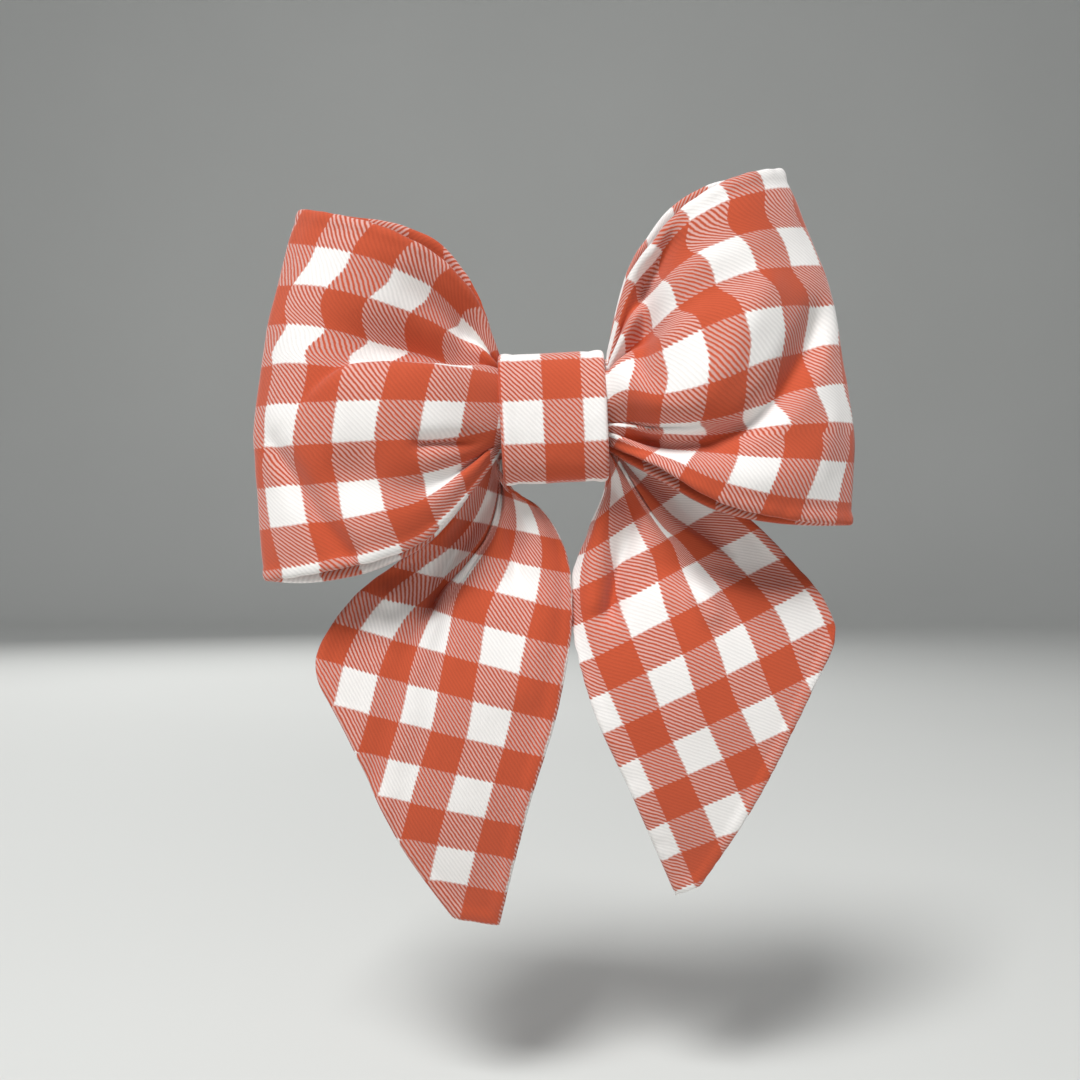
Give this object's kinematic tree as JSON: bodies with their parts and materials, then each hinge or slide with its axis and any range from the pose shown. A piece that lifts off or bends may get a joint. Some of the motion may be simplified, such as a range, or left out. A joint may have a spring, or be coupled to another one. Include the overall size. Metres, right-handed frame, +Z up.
{
  "type": "hair bow",
  "caption": "Sailor-style cloth hair bow: two stiffened loops, two tails and a wrapped knot, on a sprung clip that grips the hair.",
  "frame": {"origin": "in the plane where the clip's closed jaws grip the hair, straight behind the middle of the knot", "axes": "+X to the right as seen from the front, +Y towards the wearer's head, +Z up along the tails"},
  "size_m": [0.1349, 0.0395, 0.1763],
  "materials": {
    "gingham_cloth": "woven cotton twill",
    "stiffener": "bonded interfacing",
    "sewing_thread": "spun polyester thread",
    "felt": "pressed felt",
    "glue": "hot-melt glue",
    "ribbon": "grosgrain ribbon",
    "clip_steel": "nickel-plated steel"
  },
  "bodies": {
    "bow": {"loop_strip_outer": "gingham_cloth", "loop_strip_lining": "gingham_cloth", "loop_interfacing": "stiffener", "loop_seam_thread": "sewing_thread", "tail_strip_front": "gingham_cloth", "tail_strip_back": "gingham_cloth", "tail_interfacing": "stiffener", "tail_seam_thread": "sewing_thread", "knot_band_cover": "gingham_cloth", "knot_band_stay": "stiffener", "gather_thread": "sewing_thread", "band_closing_stitches": "sewing_thread", "glue_film": "glue", "felt_pad": "felt", "clip_ribbon": "ribbon", "clip_upper_lever": "clip_steel", "clip_pivot_pin": "clip_steel", "clip_spring": "clip_steel"},
    "clip_lower": {"clip_lower_lever": "clip_steel"}
  },
  "joints": [
    {"name": "clip_hinge", "type": "hinge", "parent": "bow", "child": "clip_lower", "pos_m": [0.012, 0.0016, 0], "axis": [0, 0, -1], "range_deg": [0, 25], "stiffness_Nm_per_rad": 0.03, "springref_deg": -20.05, "deforming": ["clip_spring"]}
  ]
}
